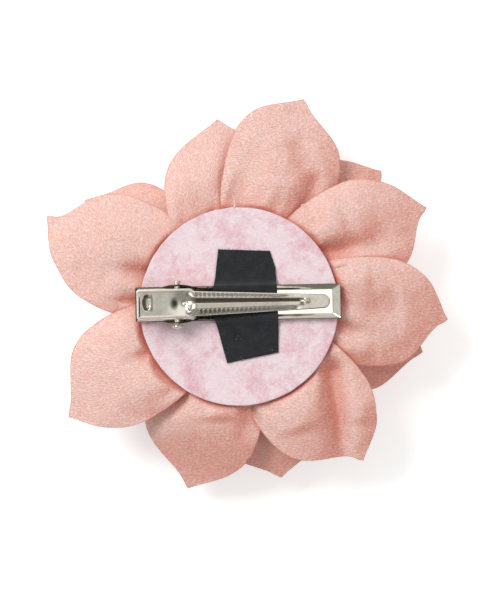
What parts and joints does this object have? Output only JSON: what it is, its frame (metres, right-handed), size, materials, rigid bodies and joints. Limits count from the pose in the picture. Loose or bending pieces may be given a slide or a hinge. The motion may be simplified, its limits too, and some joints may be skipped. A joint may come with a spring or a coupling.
{
  "type": "flower hair clip",
  "caption": "Fabric flower of pointed crepe petals on a felt backing, with a sprung toothed metal clip held by a ribbon strap.",
  "frame": {"origin": "middle of the clip's gripping face, on the base plate's floor", "axes": "+X along the clip towards the tip of its jaw, +Z out of the back of the flower towards the hair side"},
  "size_m": [0.1083, 0.1054, 0.0351],
  "materials": {
    "nickel_steel": "bright nickel plating with fine handling scratches",
    "spring_steel": "satin",
    "black_ribbon": "matte woven",
    "felt": "mottled pressed fibre",
    "glue": "hot glue",
    "backing": "stiffened cloth",
    "petal_crepe": "satin-backed crepe with heat-sealed edges"
  },
  "bodies": {
    "flower_and_base": {"clip_base": "nickel_steel", "pivot_pin": "nickel_steel", "leaf_spring": "spring_steel", "ribbon_strap": "black_ribbon", "felt_disc": "felt", "clip_glue": "glue", "flower_glue": "glue", "foundation_disc": "backing", "bud_core": "petal_crepe", "outer_petal_1": "petal_crepe", "outer_petal_2": "petal_crepe", "outer_petal_3": "petal_crepe", "outer_petal_4": "petal_crepe", "outer_petal_5": "petal_crepe", "outer_petal_6": "petal_crepe", "outer_petal_7": "petal_crepe", "outer_petal_8": "petal_crepe", "second_petal_1": "petal_crepe", "second_petal_2": "petal_crepe", "second_petal_3": "petal_crepe", "second_petal_4": "petal_crepe", "second_petal_5": "petal_crepe", "second_petal_6": "petal_crepe", "second_petal_7": "petal_crepe", "third_petal_1": "petal_crepe", "third_petal_2": "petal_crepe", "third_petal_3": "petal_crepe", "third_petal_4": "petal_crepe", "third_petal_5": "petal_crepe", "third_petal_6": "petal_crepe", "third_petal_7": "petal_crepe", "inner_petal_1": "petal_crepe", "inner_petal_2": "petal_crepe", "inner_petal_3": "petal_crepe", "inner_petal_4": "petal_crepe", "inner_petal_5": "petal_crepe", "inner_petal_6": "petal_crepe", "heart_petal_1": "petal_crepe", "heart_petal_2": "petal_crepe", "heart_petal_3": "petal_crepe", "heart_petal_4": "petal_crepe", "heart_petal_5": "petal_crepe"},
    "lever": {"clip_lever": "nickel_steel"}
  },
  "joints": [
    {"name": "lever_hinge", "type": "hinge", "parent": "flower_and_base", "child": "lever", "pos_m": [-0.0163, 0, 0.003], "axis": [0, -1, 0], "range_deg": [0, 30], "stiffness_Nm_per_rad": 0.12, "springref_deg": -20.05, "deforming": ["leaf_spring"]}
  ]
}
